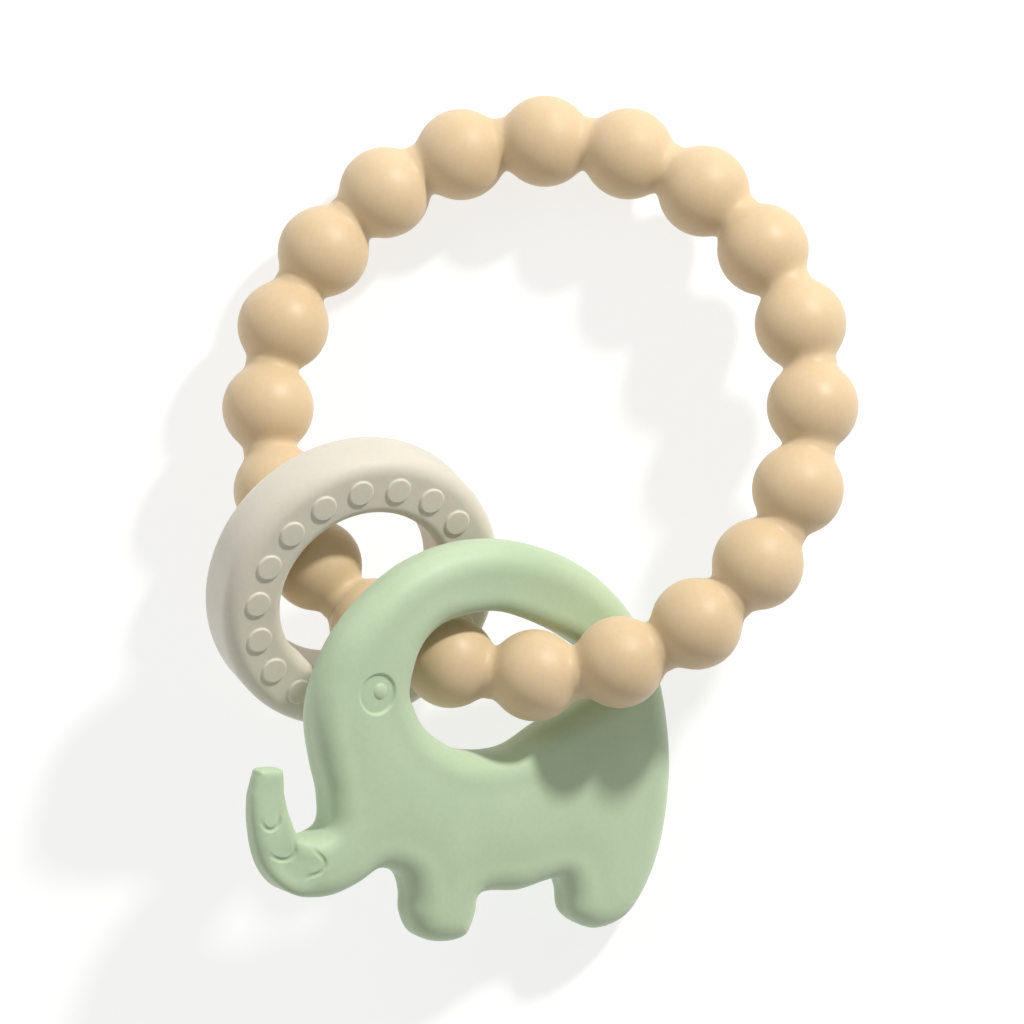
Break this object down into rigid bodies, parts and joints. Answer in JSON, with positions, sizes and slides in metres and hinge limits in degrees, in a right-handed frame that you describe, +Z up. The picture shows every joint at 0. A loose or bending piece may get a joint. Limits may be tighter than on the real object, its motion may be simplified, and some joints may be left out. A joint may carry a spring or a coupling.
{
  "type": "teething ring",
  "caption": "Closed loop of moulded silicone beads carrying two flat silicone teether pendants, a dotted ring and an elephant with a hole behind its head.",
  "frame": {"origin": "centre of the toy's footprint on the table it lies on", "axes": "+Z up from the table, +Y along the longest extent, from the elephant's feet towards the far side of the beaded loop, +X to the right as seen from above"},
  "size_m": [0.0915, 0.1189, 0.0437],
  "materials": {
    "bead_strand": "matte silicone",
    "closure_bead": "matte silicone",
    "ring_pendant": "matte silicone",
    "elephant_pendant": "matte silicone"
  },
  "bodies": {
    "loop": {"bead_strand": "bead_strand", "closure_bead": "closure_bead"},
    "ring": {"ring_pendant": "ring_pendant"},
    "elephant": {"elephant_pendant": "elephant_pendant"}
  },
  "joints": [
    {"name": "ring_travel", "type": "hinge", "parent": "loop", "child": "ring", "pos_m": [0.001, 0.0154, 0.01545], "axis": [-0.0987, 0.2116, 0.9724], "range_deg": [-50, 0]},
    {"name": "elephant_travel", "type": "hinge", "parent": "loop", "child": "elephant", "pos_m": [0.001, 0.0154, 0.01545], "axis": [-0.0987, 0.2116, 0.9724], "range_deg": [0, 60]}
  ]
}
